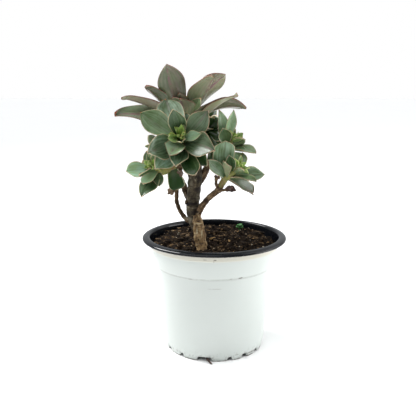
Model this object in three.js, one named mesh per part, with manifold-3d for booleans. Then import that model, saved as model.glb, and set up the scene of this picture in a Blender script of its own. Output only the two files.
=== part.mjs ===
// Potted aeonium: a branched succulent with seven leaf rosettes, in a plastic nursery pot of soil.
// Lengths are millimetres and angles are degrees. +Z is up and the viewer stands on the -Y side.
// Everything is laid out from the pot's axis at the ground, and centred on its own box at the end.
import * as THREE from 'three';
import { mergeVertices } from 'three/addons/utils/BufferGeometryUtils.js';
import Module from 'manifold-3d';

const wasm = await Module();
wasm.setup();

// Driving dimensions
const POT_HEIGHT = 103.3;
const RIM_RADIUS = 65;
const FOOT_RADIUS = 44.3;
const WALL = 1.1;
const FLOOR_TOP = 5.2;
const FLOOR_UNDER = 3.8;
const SOIL_LEVEL = 96.3;
const GAP = 0.3;
const POT_SIDES = 36;
const GOLDEN_ANGLE = 137.508;
const MARGIN_THICKNESS = 0.7;
const MESH_TOLERANCE = 0.06;

const DEG = Math.PI / 180;
const v3 = (x, y, z) => new THREE.Vector3(x, y, z);
const mix = (pair, t) => pair[0] + (pair[1] - pair[0]) * t;
const clamp01 = (x) => Math.min(1, Math.max(0, x));

// A repeatable number from -1 to 1 for the k-th draw of a seed
function jitter(seed, k) {
  const x = Math.sin(seed * 12.9898 + k * 78.233) * 43758.5453;
  return (x - Math.floor(x)) * 2 - 1;
}

// Solid helpers

function solid(geometry) {
  const bare = geometry.clone();
  bare.deleteAttribute('normal');
  bare.deleteAttribute('uv');
  const merged = mergeVertices(bare, 1e-4);
  const mesh = new wasm.Mesh({
    numProp: 3,
    vertProperties: new Float32Array(merged.attributes.position.array),
    triVerts: new Uint32Array(merged.index.array),
  });
  return new wasm.Manifold(mesh);
}

function geometryOf(manifold) {
  const mesh = manifold.getMesh();
  const geometry = new THREE.BufferGeometry();
  geometry.setAttribute('position', new THREE.BufferAttribute(new Float32Array(mesh.vertProperties), 3));
  geometry.setIndex(new THREE.BufferAttribute(new Uint32Array(mesh.triVerts), 1));
  return geometry;
}

// Joins solids that touch into one body. The small voids that crossing leaves enclose are filled.
function fuse(solids) {
  const bodies = solids.reduce((whole, next) => whole.add(next)).simplify(MESH_TOLERANCE).decompose();
  const standing = bodies.filter((body) => body.volume() > 0);
  if (standing.length !== 1) throw new Error(`loose pieces of ${standing.map((body) => body.volume().toFixed(2))} mm3`);
  return standing[0];
}

// Joins closed rings of equal length into one skin, with a flat fan at each end
function skin(rings) {
  const sides = rings[0].length;
  const points = rings.flat();
  const faces = [];
  for (let i = 0; i < rings.length - 1; i += 1) {
    for (let j = 0; j < sides; j += 1) {
      const a = i * sides + j;
      const b = i * sides + ((j + 1) % sides);
      faces.push(a, b, b + sides, a, b + sides, a + sides);
    }
  }
  const last = (rings.length - 1) * sides;
  for (let j = 1; j < sides - 1; j += 1) {
    faces.push(0, j + 1, j);
    faces.push(last, last + j, last + j + 1);
  }
  const geometry = new THREE.BufferGeometry();
  geometry.setAttribute('position', new THREE.Float32BufferAttribute(points.flatMap((p) => p.toArray()), 3));
  geometry.setIndex(faces);
  return geometry;
}

// A woody or green limb along hand-placed points, each [x, y, z, radius]
function limb(stations, sides, steps, swell = 0) {
  const curve = new THREE.CatmullRomCurve3(stations.map((s) => v3(s[0], s[1], s[2])), false, 'centripetal');
  const frames = curve.computeFrenetFrames(steps, false);
  const rings = [];
  for (let i = 0; i <= steps; i += 1) {
    const t = curve.getUtoTmapping(i / steps);
    const along = t * (stations.length - 1);
    const k = Math.min(stations.length - 2, Math.floor(along));
    const radius = mix([stations[k][3], stations[k + 1][3]], along - k);
    const centre = curve.getPoint(t);
    rings.push(Array.from({ length: sides }, (_, j) => {
      const angle = (j / sides) * 2 * Math.PI;
      const bump = 1 + swell * jitter(stations.length + j, i);
      return centre.clone()
        .addScaledVector(frames.normals[i], Math.cos(angle) * radius * bump)
        .addScaledVector(frames.binormals[i], Math.sin(angle) * radius * bump);
    }));
  }
  return solid(skin(rings));
}

// Pot: thin wall with a stepped skirt, a black rolled rim and a notched foot ring

const POT_OUTSIDE = [
  [FOOT_RADIUS, 0], [45.7, 7], [48.8, 33], [50.5, 51], [51.1, 67], [52.0, 77.4],
  [53.3, 78.4], [57.0, 90], [58.0, 94.6], [58.6, 95.4], [58.6, 100.4],
];
const RIM_LIP = [
  [RIM_RADIUS - 0.9, 100.2], [RIM_RADIUS, 101.4], [RIM_RADIUS - 0.3, 102.8],
  [RIM_RADIUS - 1.3, POT_HEIGHT], [59.2, POT_HEIGHT], [58.0, 102.6],
];

function innerRadius(z) {
  let k = 1;
  while (k < POT_OUTSIDE.length - 1 && POT_OUTSIDE[k][1] < z) k += 1;
  const [r0, z0] = POT_OUTSIDE[k - 1];
  const [r1, z1] = POT_OUTSIDE[k];
  return mix([r0, r1], clamp01((z - z0) / (z1 - z0))) - WALL;
}

// Each notch is [turn, mean width, height]
const NOTCHES = [-11, 109, 229].flatMap((wide) => [
  [wide, 12.4, 3.8], [wide + 29, 4.4, 3.3], [wide + 48, 5.8, 3.8], [wide + 68, 5.2, 3.7], [wide + 91, 4.4, 3.3],
]);

function buildPot() {
  const inside = [97, 90, 78.4, 67, 33, FLOOR_TOP].map((z) => [innerRadius(z), z]);
  const under = [[0, FLOOR_TOP], [0, FLOOR_UNDER], [FOOT_RADIUS - 2.6, FLOOR_UNDER], [FOOT_RADIUS - 2.0, 0]];
  const outline = [...POT_OUTSIDE, ...RIM_LIP, ...inside, ...under, POT_OUTSIDE[0]];
  const shell = new THREE.LatheGeometry(outline.map(([r, z]) => new THREE.Vector2(r, z)), POT_SIDES);
  shell.rotateX(Math.PI / 2);
  let pot = solid(shell);
  for (const [turn, width, height] of NOTCHES) {
    const cut = new THREE.BoxGeometry(width, 8, height * 2);
    cut.translate(0, -FOOT_RADIUS, 0);
    cut.rotateZ(turn * DEG);
    pot = pot.subtract(solid(cut));
  }
  for (let i = 0; i < 6; i += 1) {
    const drain = new THREE.CylinderGeometry(4, 4, 6, 10);
    drain.rotateX(Math.PI / 2);
    drain.translate(28, 0, (FLOOR_TOP + FLOOR_UNDER) / 2);
    drain.rotateZ((i * 60 + 18) * DEG);
    pot = pot.subtract(solid(drain));
  }
  return pot;
}

// Soil: follows the wall inside the pot, with a lumpy top and fused bark chips

const STEM_FOOT = [[-10.7, -26, 70, 5.5], [-10.9, -21.5, 82, 5.4]];
const LOWER_STEM = [...STEM_FOOT, [-11.3, -17, 95.5, 5.4], [-12.5, -14, 104, 5.3], [-13.8, -11, 112, 4.9],
  [-14.6, -8.6, 118, 4.5], [-15.4, -6.4, 122, 3.4]];
const SPROUT_FOOT = [24.2, 38, 90];
const SOIL_EDGE = innerRadius(90) - GAP;
const CHIP_COUNT = 40;

function soilHeight(x, y) {
  const mound = 2.6 * Math.exp(-((x + 8) ** 2) / 900 - ((y - 30) ** 2) / 700);
  const waves = 0.8 * Math.sin(x * 0.31 + 1.3) * Math.cos(y * 0.27) + 0.6 * Math.sin(x * 0.13 - y * 0.19 + 2);
  return SOIL_LEVEL + 1.8 * (y / SOIL_EDGE) + mound + waves;
}

function soilBody() {
  const sides = 28;
  const wall = [FLOOR_TOP + GAP, 33, 67, 77.4, 90].map((z) => [innerRadius(z) - GAP - 0.2, () => z]);
  const shoulder = [SOIL_EDGE, (x, y) => soilHeight(x, y) - 2.2];
  const top = [0.93, 0.78, 0.6, 0.42, 0.2].map((share, i) => [
    SOIL_EDGE * share, (x, y, j) => soilHeight(x, y) + 0.8 * jitter(31 + i, j)]);
  const rows = [[6, () => FLOOR_TOP + GAP], ...wall, shoulder, ...top];
  const rings = rows.map(([r, height]) => Array.from({ length: sides }, (_, j) => {
    const turn = (j / sides) * 2 * Math.PI;
    const x = r * Math.cos(turn);
    const y = r * Math.sin(turn);
    return v3(x, y, height(x, y, j));
  }));
  return solid(skin(rings));
}

function barkChip(i) {
  const radius = (SOIL_EDGE - 5) * Math.sqrt((i + 0.5) / CHIP_COUNT);
  const turn = i * GOLDEN_ANGLE * DEG;
  const x = radius * Math.cos(turn);
  const y = radius * Math.sin(turn);
  const size = 2.6 + 1.2 * jitter(41, i);
  const chip = new THREE.OctahedronGeometry(size, 0);
  chip.scale(1.5, 1, 0.8);
  chip.rotateX(0.6 * jitter(42, i));
  chip.rotateZ(3 * jitter(43, i));
  chip.translate(x, y, soilHeight(x, y) - 0.15 * size);
  return solid(chip);
}

function buildSoil() {
  const chips = Array.from({ length: CHIP_COUNT }, (_, i) => barkChip(i));
  const stemRoom = limb([...STEM_FOOT, ...LOWER_STEM.slice(2, 4)].map(([x, y, z, r], i) => [
    x, y - (i ? 0 : 0.3), z - (i ? 0 : 0.7), r * 1.05 + 0.4]), 10, 8);
  const sproutRoom = new THREE.CylinderGeometry(1.3, 1.3, 24, 8);
  sproutRoom.rotateX(Math.PI / 2);
  sproutRoom.translate(SPROUT_FOOT[0], SPROUT_FOOT[1], SPROUT_FOOT[2] + 11.6);
  return fuse([soilBody(), ...chips]).subtract(stemRoom).subtract(solid(sproutRoom));
}

// Seedling: a tiny weed with paired round leaves, standing in the soil behind the stem

function buildSeedling() {
  const [x, y, z] = SPROUT_FOOT;
  const ground = soilHeight(x, y);
  const stem = limb([[x, y, z, 0.9], [x, y, ground, 0.9], [x + 0.5, y - 0.5, ground + 5, 0.7]], 6, 4);
  const leaves = Array.from({ length: 6 }, (_, i) => {
    const pad = new THREE.OctahedronGeometry(1, 1);
    pad.scale(2.1, 1.6, 0.6);
    pad.translate(1.9, 0, 0);
    pad.rotateY(-0.45);
    pad.rotateZ((i * GOLDEN_ANGLE + 20) * DEG);
    pad.translate(x + 0.3, y - 0.3, ground + 1.4 + i * 0.6);
    return solid(pad);
  });
  return fuse([stem, ...leaves]);
}

// Leaf rosettes: leaf k turns by the golden angle from leaf k-1, and stands up more and shortens inwards.
// "seen" gives the leaves that face the viewer as [turn, lean, length, width, roll, bend], and the cup and
// the bluntness of the tip where a leaf is folded or cut short.

const ROSETTES = {
  rosette_front: {
    apex: [-28.5, -34, 195], axis: [-0.04, -0.82, 0.57], seed: 1, leaves: 19, spin: 292, hand: 1,
    length: [40, 8], lean: [96, 16], bend: [10, -25], ratio: 0.46, drop: 14, core: 5.0,
    joint: [-18, -4.5, 171, 4.3],
    seen: {
      0: [291, 68, 38, 15, 8, 10, 0.25, 5],
      1: [84, 92, 30, 18, 0, 5],
      2: [240, 64, 38, 19, -26, 10],
      3: [314, 86, 30, 15, 15, 10],
      4: [108, 86, 42, 24, 0, 0, 0.25, 3],
      5: [267, 60, 33, 17, -10, 15],
      6: [33, 49, 36, 19, 22, -8],
      7: [223, 54, 38, 22, -32, 10],
      8: [325, 59, 40, 22, 20, 10],
      9: [105, 33, 28, 16, 0, 0],
      10: [253, 53, 28, 18, -6, 20],
      11: [346, 45, 25, 9, 30, 0],
      12: [146, 81, 40, 22, -12, -5],
      14: [62, 38, 12, 7, 0, 0],
      15: [219, 39, 16, 9, -25, 0],
    },
  },
  rosette_top: {
    apex: [-27, 16, 214], axis: [-0.06, 0.04, 1.0], seed: 2, leaves: 18, spin: 195, hand: 1,
    length: [48, 9], lean: [84, 14], bend: [12, -15], ratio: 0.47, drop: 14, core: 5.5,
    joint: [-20, 8.5, 177.5, 5.4],
    seen: {
      0: [190, 77, 62, 27, -34, 25],
      1: [346, 77, 58, 20, -30, 50],
      2: [190, 63, 60, 15, 26, 30, 0.2, 4],
      3: [339, 65, 54, 18, -4, 0, 0.2, 4],
      4: [192, 43, 46, 19, 30, 10],
      5: [140, 66, 44, 21, 0, 10],
      6: [320, 43, 50, 24, -14, 0, 0.6],
      7: [266, 49, 29, 22, -12, 0, 0.3, 3],
      8: [240, 25, 52, 26, 22, -10, 0.4],
      9: [331, 50, 55, 19, -44, 5, 0.3, 2.6],
      12: [308, 60, 28, 10, -57, 0, 0.4, 1.3],
    },
  },
  rosette_left_low: {
    apex: [-55, -8, 167], axis: [-0.72, -0.45, 0.53], seed: 3, leaves: 14, spin: 258, hand: 1,
    length: [28, 6], lean: [92, 14], bend: [15, -20], ratio: 0.5, drop: 11.6, core: 3.4,
    joint: [-34.2, 0.4, 164.6, 2.4],
    seen: {
      0: [256, 66, 34, 16, -45, 20],
      1: [111, 95, 24, 12, 20, 0],
      2: [69, 28, 20, 11, 55, 0],
      3: [276, 90, 18, 10, -40, 0],
      4: [11, 40, 20, 11, -80, 0],
      5: [262, 59, 24, 10, -45, 0, 0.4, 6],
      7: [103, 65, 20, 12, 15, 0],
      8: [254, 45, 20, 9, 2, 4],
      10: [220, 36, 25, 16, -38, 4, 0.3, 3],
    },
    stray: { from: [-37, -3, 162.5], to: [-31.5, -9, 145.8], width: 14, bend: 20, blunt: 6, foot: 0.7 },
  },
  rosette_right_low: {
    apex: [22, -14, 166], axis: [0.7, -0.38, 0.6], seed: 4, leaves: 13, spin: 283, hand: -1,
    length: [30, 6], lean: [92, 14], bend: [15, -20], ratio: 0.46, drop: 18, core: 3.2,
    joint: [5.2, -5.7, 148.2, 2.8],
    seen: {
      0: [158, 45, 35, 19, -76, 0, 0.25, 6],
      1: [187, 77, 27, 11, -65, 0],
      2: [5, 87, 31, 15, 5, 10, 0.5, 8],
      3: [201, 54, 24, 10, 40, 0, 0.5, 1.2],
      4: [306, 40, 27, 10, 25, 8],
      5: [16, 58, 31, 14, 22, -10],
      6: [182, 52, 21, 10, -80, 0],
      7: [92, 55, 20, 15, -33, 0, 0.25, 3],
    },
  },
  rosette_right_mid: {
    apex: [18, 4, 189], axis: [0.62, -0.35, 0.7], seed: 5, leaves: 13, spin: 120, hand: 1,
    length: [30, 6], lean: [90, 14], bend: [10, -20], ratio: 0.5, drop: 14, core: 3.2,
    joint: [1, 7.4, 174.2, 2.8],
    seen: {
      0: [160, 47, 36, 12, -45, 0, 0.5],
      1: [164, 27, 37, 10, -60, 0, 0.5],
      2: [317, 47, 30, 12, 30, 30],
      3: [304, 49, 22, 11, 20, 0],
      4: [189, 52, 20, 13, -75, 0],
      5: [309, 23, 18, 9, -40, 0],
      6: [233, 130, 26, 14, -14, 0],
      7: [249, 136, 24, 13, 2, 0],
    },
  },
  rosette_back: {
    apex: [-6, 46, 198], axis: [0.25, 0.8, 0.55], seed: 6, leaves: 13, spin: 40, hand: 1,
    length: [36, 6], lean: [92, 14], bend: [15, -20], ratio: 0.48, drop: 12, core: 4.2,
    joint: [-12, 26.5, 182.5, 3.5],
    seen: {
      0: [289, 101, 25, 14, -2, 0],
      1: [303, 103, 29, 15, -17, 0],
      2: [287, 130, 24, 13, 4, 0],
      3: [328, 128, 30, 14, -57, 0],
      4: [82, 71, 30, 16, -31, 0],
      5: [357, 141, 34, 15, -65, 0],
      6: [78, 89, 34, 16, -25, 0],
    },
  },
  rosette_left_back: {
    apex: [-52, 27, 180], axis: [-0.7, 0.5, 0.45], seed: 7, leaves: 11, spin: 80, hand: -1,
    length: [26, 6], lean: [92, 14], bend: [15, -20], ratio: 0.5, drop: 10, core: 3.2,
    joint: [-38, 17, 172, 2.8],
    seen: {},
  },
};

// Where a rosette's green stem starts: just off the end of its branch, heading for the lowest leaves
function stemStart(rosette) {
  const { up } = rosetteFrame(rosette);
  const [x, y, z, radius] = rosette.joint;
  const joint = v3(x, y, z);
  const heading = v3(...rosette.apex).addScaledVector(up, -rosette.drop).sub(joint).normalize();
  const along = (distance) => [...joint.clone().addScaledVector(heading, distance).toArray(), radius];
  return { branchEnd: [along(-4), along(0)], stemBase: [along(GAP), along(3)] };
}

function rosetteFrame(rosette) {
  const up = v3(...rosette.axis).normalize();
  const side = v3(1, 0, 0).addScaledVector(up, -up.x).normalize();
  return { up, side, away: up.clone().cross(side) };
}

function leafFacts(rosette, k) {
  const age = k / (rosette.leaves - 1);
  const length = mix(rosette.length, age ** 1.4);
  const grown = [
    rosette.spin + rosette.hand * GOLDEN_ANGLE * k + 5 * jitter(rosette.seed, k),
    mix(rosette.lean, age) + 4 * jitter(rosette.seed + 10, k),
    length,
    length * rosette.ratio * (1 - 0.1 * age),
    6 * jitter(rosette.seed + 20, k),
    mix(rosette.bend, age),
  ];
  const [turn, lean, long, width, roll, bend, cup, blunt] = rosette.seen[k] ?? grown;
  return { age, turn, lean, long, width, roll, bend, cup: cup ?? mix([0.25, 0.55], age), blunt };
}

// Half-width of a spoon-shaped leaf along its length, as a share of the widest place
function spoon(u, blunt = 1.8, foot = 0.3) {
  const widest = 0.64;
  if (u < widest) return foot + (1 - foot) * Math.sin((Math.PI / 2) * (u / widest)) ** 1.5;
  return Math.max(0.05, (1 - ((u - widest) / (1 - widest)) ** blunt) ** 0.95);
}

// One leaf blade. It leaves the root along radial and up by its lean, and its face looks up and inwards.
function blade(root, up, radial, facts) {
  const along = facts.long > 35 ? [0, 0.32, 0.56, 0.78, 0.93, 1] : [0, 0.36, 0.66, 0.88, 1];
  const across = facts.long > 35 ? [-1, -0.5, 0, 0.5, 1] : [-1, 0, 1];
  const tangent = up.clone().cross(radial);
  const bend = (facts.bend || 0.01) * DEG;
  const start = facts.lean * DEG - bend / 2;
  const cosRoll = Math.cos(facts.roll * DEG);
  const sinRoll = Math.sin(facts.roll * DEG);
  const rings = along.map((u) => {
    const lean = start + bend * u;
    const rise = (facts.long * (Math.sin(lean) - Math.sin(start))) / bend;
    const reach = (-facts.long * (Math.cos(lean) - Math.cos(start))) / bend;
    const spine = root.clone().addScaledVector(up, rise).addScaledVector(radial, reach);
    const face = up.clone().multiplyScalar(Math.sin(lean)).addScaledVector(radial, -Math.cos(lean));
    const broad = tangent.clone().multiplyScalar(cosRoll).addScaledVector(face, sinRoll);
    const normal = face.clone().multiplyScalar(cosRoll).addScaledVector(tangent, -sinRoll);
    const half = (facts.width / 2) * spoon(u, facts.blunt, facts.foot);
    const body = mix([2.6, 1.1], u) * Math.min(1, facts.long / 30);
    const under = (v) => MARGIN_THICKNESS + Math.max(0, body - MARGIN_THICKNESS) * (1 - Math.abs(v) ** 1.5);
    const place = (v, depth) => spine.clone()
      .addScaledVector(broad, half * v * (1 - 0.15 * facts.cup * Math.abs(v)))
      .addScaledVector(normal, facts.cup * half * Math.abs(v) ** 1.5 - depth);
    const below = across.map((v) => place(v, under(v)));
    const above = across.map((v) => place(v, 0)).reverse();
    return [...below, ...above];
  });
  return solid(skin(rings));
}

function leaf(rosette, k) {
  const { up, side, away } = rosetteFrame(rosette);
  const facts = leafFacts(rosette, k);
  const radial = side.multiplyScalar(Math.cos(facts.turn * DEG)).addScaledVector(away, Math.sin(facts.turn * DEG));
  const root = v3(...rosette.apex)
    .addScaledVector(up, -rosette.drop * (1 - facts.age))
    .addScaledVector(radial, rosette.core * 0.4 * (1 - 0.7 * facts.age));
  return blade(root, up, radial, facts);
}

// A leaf that hangs from the stem below the rosette, its face to the viewer
function strayLeaf({ from, to, width, bend, blunt, foot }) {
  const root = v3(...from);
  const run = v3(...to).sub(root);
  const radial = run.clone().normalize();
  const up = v3(0, -1, 0).addScaledVector(radial, radial.y).normalize();
  return blade(root, up, radial, {
    long: run.length(), width, bend, blunt, foot, lean: 90, roll: 0, cup: -0.2,
  });
}

function buildRosette(rosette) {
  const { up } = rosetteFrame(rosette);
  const apex = v3(...rosette.apex);
  const at = (back, radius) => [...apex.clone().addScaledVector(up, -back).toArray(), radius];
  const core = [
    at(rosette.drop, rosette.core * 0.9),
    at(rosette.drop * 0.5, rosette.core * 0.7),
    at(-0.5, rosette.core * 0.4),
  ];
  const stem = limb([...stemStart(rosette).stemBase, ...core], 6, 6);
  const leaves = Array.from({ length: rosette.leaves }, (_, k) => leaf(rosette, k));
  const strays = rosette.stray ? [strayLeaf(rosette.stray)] : [];
  return fuse([stem, ...leaves, ...strays]);
}

// Woody stem and its branches

const UPPER_STEM = [[-16.5, -6, 108, 3.2], [-17.6, -4, 114, 4.8], [-18.6, -1.5, 121, 5.9], [-19.2, 0, 132, 5.9],
  [-18.2, 0, 144, 5.9], [-17.0, 0.5, 156, 6.4], [-18, 3, 167, 6.2]];
const BRANCHES = {
  rosette_front: [[-17, 0, 158, 4.5]],
  rosette_right_low: [[-15, -4, 122, 3], [-10.5, -6, 131, 2.8], [-5, -6.5, 138, 2.6]],
  rosette_left_low: [[-15, -6, 115, 2.6], [-20, -3, 115.5, 2.5], [-24.5, -0.5, 117, 2.2], [-28, 1, 120.5, 2],
    [-31.5, 2, 126, 1.9], [-33.8, 3, 133, 1.9], [-33.8, 3, 141, 1.9], [-33.6, 2.4, 152, 1.9]],
  rosette_left_back: [[-20, 1.5, 129, 3.4], [-23.5, 4.5, 137, 3.2], [-27.5, 7, 146, 3], [-31.5, 10.5, 154, 2.6],
    [-36.4, 14, 162, 2.3]],
  rosette_right_mid: [[-16, 2, 148, 3.4], [-10, 3, 156.5, 3.2]],
  rosette_back: [[-17, 3, 158, 3.4], [-14, 12, 168, 3.2]],
};

// Scars and dead leaf bits that still hang on the wood
const KNOBS = [
  [[-20, -1, 132.5, 2.6], [-26, -1.5, 133.3, 1.9]],
  [[3.4, -6, 145, 1.4], [1.6, -7.4, 151, 1.3], [1.9, -7.8, 157, 1.5]],
  [[3.6, -7, 143.8, 1.3], [8.5, -10.4, 146, 1.1], [13.5, -9.5, 146.3, 1.1]],
];
const DRY_LEAVES = [
  { from: [12, -9.5, 146.3], to: [18.3, -10, 148], width: 5, bend: 50 },
  { from: [-34.4, 2.5, 146], to: [-41.8, -0.5, 140.5], width: 6.5, bend: 30 },
  { from: [-34.8, 1.6, 161.4], to: [-28.4, -1.8, 159.6], width: 5.4, bend: -30 },
];

function buildTrunk() {
  const top = [...UPPER_STEM, ...stemStart(ROSETTES.rosette_top).branchEnd];
  const stems = [limb(LOWER_STEM, 10, 10, 0.04), limb(top, 10, 12, 0.05)];
  const branches = Object.entries(BRANCHES).map(([name, points]) => (
    limb([...points, ...stemStart(ROSETTES[name]).branchEnd], 6, 7, 0.04)));
  const knobs = KNOBS.map((points) => limb(points, 5, 2, 0.06));
  return fuse([...stems, ...branches, ...knobs, ...DRY_LEAVES.map(strayLeaf)]);
}

// Assembly

const group = new THREE.Group();

function place(name, manifold, colour, roughness) {
  const material = new THREE.MeshStandardMaterial({ color: colour, roughness, metalness: 0 });
  const mesh = new THREE.Mesh(geometryOf(manifold), material);
  mesh.name = name;
  group.add(mesh);
}

place('pot', buildPot(), 0xf1efe8, 0.45);
place('soil', buildSoil(), 0x2e2119, 0.95);
place('seedling', buildSeedling(), 0x3f7a35, 0.6);
place('trunk', buildTrunk(), 0x6f5b45, 0.85);
for (const [name, rosette] of Object.entries(ROSETTES)) {
  place(name, buildRosette(rosette), name === 'rosette_top' ? 0x75706a : 0x5f8266, 0.5);
}

// The group is centred on its own box, standing on z = 0
group.updateMatrixWorld(true);
const middle = new THREE.Box3().setFromObject(group, true).getCenter(v3(0, 0, 0));
group.children.forEach((mesh) => mesh.geometry.translate(-middle.x, -middle.y, 0));

export default group;
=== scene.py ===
from math import atan2, cos, exp, floor, hypot, pi, radians, sin, sqrt

import bpy
import numpy as np
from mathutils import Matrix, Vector, noise


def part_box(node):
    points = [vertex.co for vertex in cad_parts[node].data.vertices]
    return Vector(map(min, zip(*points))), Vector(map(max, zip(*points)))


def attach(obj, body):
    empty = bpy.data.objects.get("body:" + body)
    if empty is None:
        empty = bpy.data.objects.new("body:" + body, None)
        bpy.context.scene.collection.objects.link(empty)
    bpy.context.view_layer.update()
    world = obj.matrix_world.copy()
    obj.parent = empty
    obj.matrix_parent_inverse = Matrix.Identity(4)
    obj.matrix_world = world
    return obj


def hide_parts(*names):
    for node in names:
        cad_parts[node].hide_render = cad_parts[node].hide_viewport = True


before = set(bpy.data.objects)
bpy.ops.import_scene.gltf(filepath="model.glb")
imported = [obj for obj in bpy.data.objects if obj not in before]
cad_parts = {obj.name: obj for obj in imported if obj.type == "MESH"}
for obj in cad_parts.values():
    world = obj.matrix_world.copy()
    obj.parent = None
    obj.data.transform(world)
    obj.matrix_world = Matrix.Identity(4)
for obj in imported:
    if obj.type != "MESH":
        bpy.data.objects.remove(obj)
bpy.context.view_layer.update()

MM = 0.001
pot_low, pot_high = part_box("pot")
AXIS = np.array([(pot_low[0] + pot_high[0]) / 2, (pot_low[1] + pot_high[1]) / 2, 0.0])

# Driving dimensions, in millimetres and degrees
POT_HEIGHT = 103.3
RIM_RADIUS = 65.0
FOOT_RADIUS = 44.3
WALL = 1.1
FLOOR_TOP = 5.2
FLOOR_UNDER = 3.8
SOIL_LEVEL = 96.3
GAP = 0.3
GOLDEN_ANGLE = 137.508
MARGIN_THICKNESS = 0.5

# The photograph's viewpoint: distance in front of the pot's axis, height, tilt down and turn
CAMERA_BACK = 544.8
CAMERA_HEIGHT = 244.95
CAMERA_DOWN = 12.15
CAMERA_TURN = 0.59
CAMERA_LENS = 53.65

# The lights face this place, in metres
LIGHT_TARGET = (0, 0, 0.13)


def mix(pair, t):
    return pair[0] + (pair[1] - pair[0]) * t


def unit(v):
    v = np.asarray(v, float)
    return v / np.linalg.norm(v)


def smooth(low, high, x):
    t = np.clip((x - low) / (high - low), 0.0, 1.0)
    return t * t * (3 - 2 * t)


def jitter(seed, k):
    """A repeatable number from -1 to 1 for the k-th draw of a seed."""
    x = sin(seed * 12.9898 + k * 78.233) * 43758.5453
    return (x - floor(x)) * 2 - 1


def draw(seed, k):
    """A repeatable number from 0 to 1 for the k-th draw of a seed."""
    return 0.5 + 0.5 * jitter(seed, k)


def bumps(p, scale, seed=0.0):
    """Smooth noise from about -1 to 1 at a place in millimetres."""
    return noise.noise(Vector((p[0] / scale + seed, p[1] / scale - seed, p[2] / scale + 2 * seed)))


def put(name, data):
    """Puts a new object into the scene."""
    thing = bpy.data.objects.new(name, data)
    bpy.context.scene.collection.objects.link(thing)
    return thing


# Mesh helpers

PLAIN = (0, 0, 0, 1)


class Shape:
    """Points in millimetres, faces, and the colour channels that the materials read at each point."""

    def __init__(self):
        self.points = []
        self.faces = []
        self.channels = {"place": [], "look": []}
        self.count = 0

    def add(self, points, faces, place=PLAIN, look=PLAIN):
        points = np.asarray(points, float).reshape(-1, 3)
        self.points.append(points)
        self.faces.extend([tuple(i + self.count for i in face) for face in faces])
        for channel, values in (("place", place), ("look", look)):
            self.channels[channel].append(np.broadcast_to(values, (len(points), 4)))
        self.count += len(points)

    def build(self, name, node, slot, *materials, smooth_faces=True):
        """Makes the piece that stands for a node, or for a part of it."""
        points = np.vstack(self.points) * MM + AXIS
        mesh = bpy.data.meshes.new(name)
        mesh.from_pydata(points.tolist(), [], self.faces)
        for channel, values in self.channels.items():
            colours = mesh.color_attributes.new(channel, "FLOAT_COLOR", "POINT")
            colours.data.foreach_set("color", np.vstack(values).astype(np.float32).ravel())
        mesh.polygons.foreach_set("use_smooth", [smooth_faces] * len(mesh.polygons))
        mesh.validate()
        for material in materials:
            mesh.materials.append(material)
        piece = put(name, mesh)
        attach(piece, "root")
        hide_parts(node)
        return piece


def circle(radius, count, centre=(0, 0)):
    """Points in plan, evenly round a circle."""
    angles = 2 * pi * np.arange(count) / count
    return np.stack([centre[0] + radius * np.cos(angles), centre[1] + radius * np.sin(angles)], axis=1)


def level(points, z):
    """Points in plan, put at one height."""
    return [(x, y, z) for x, y in points]


def grid_faces(rows, columns, start=0, flip=False, closed=True):
    """Quads over a grid of rows by columns, closed round the columns or open."""
    faces = []
    for i in range(rows - 1):
        for j in range(columns if closed else columns - 1):
            k = (j + 1) % columns
            quad = [i * columns + j, i * columns + k, (i + 1) * columns + k, (i + 1) * columns + j]
            faces.append(tuple(start + q for q in (reversed(quad) if flip else quad)))
    return faces


def curve_points(stations, count):
    """Points on a centripetal Catmull-Rom curve through given stations [x, y, z, radius]."""
    p = np.array(stations, float)
    p = np.vstack([2 * p[0] - p[1], p, 2 * p[-1] - p[-2]])
    fine = []
    for before, start, end, after in zip(p, p[1:], p[2:], p[3:]):
        spans = ((before, start), (start, end), (end, after))
        first, middle, last = (max(1e-4, sqrt(np.linalg.norm(b[:3] - a[:3]))) for a, b in spans)
        run = end - start
        leave = middle * ((start - before) / first - (end - before) / (first + middle) + run / middle)
        arrive = middle * (run / middle - (after - start) / (middle + last) + (after - end) / last)
        for t in np.linspace(0, 1, 24, endpoint=False):
            bow = (3 * run - 2 * leave - arrive) * t ** 2 + (leave + arrive - 2 * run) * t ** 3
            fine.append(start + leave * t + bow)
    fine.append(p[-2])
    fine = np.array(fine)
    travelled = np.concatenate([[0], np.cumsum(np.linalg.norm(np.diff(fine[:, :3], axis=0), axis=1))])
    at = np.linspace(0, travelled[-1], count)
    return np.stack([np.interp(at, travelled, fine[:, c]) for c in range(4)], axis=1), travelled[-1]


def limb(shape, stations, pitch, sides, relief, look=PLAIN):
    """Adds a limb with a closed tip. relief(point, along, angle) gives its swelling in millimetres."""
    length = sum(np.linalg.norm(np.subtract(b[:3], a[:3])) for a, b in zip(stations, stations[1:]))
    count = max(4, int(length / pitch))
    line, length = curve_points(stations, count)
    centre = line[:, :3]
    heading = np.gradient(centre, axis=0)
    heading /= np.linalg.norm(heading, axis=1)[:, None]
    side = unit(np.cross(heading[0], [0.3, 1, 0.2]))
    rings = []
    place = []
    for i in range(count):
        side = unit(side - heading[i] * np.dot(side, heading[i]))
        other = np.cross(heading[i], side)
        share = i / (count - 1)
        for j in range(sides):
            angle = 2 * pi * j / sides
            cosine, sine = cos(angle), sin(angle)
            out = side * cosine + other * sine
            radius = line[i, 3] + relief(centre[i] + out * line[i, 3], share * length, angle)
            rings.append(centre[i] + out * radius)
            place.append((share, share * length / 100, 0.5 + 0.5 * cosine, 0.5 + 0.5 * sine))
    faces = grid_faces(count, sides)
    rings.append(centre[-1] + heading[-1] * line[-1, 3] * 0.25)
    place.append((1, length / 100, 0, 1))
    last = (count - 1) * sides
    faces += [(last + j, last + (j + 1) % sides, count * sides) for j in range(sides)]
    shape.add(rings, faces, place, look)
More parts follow.
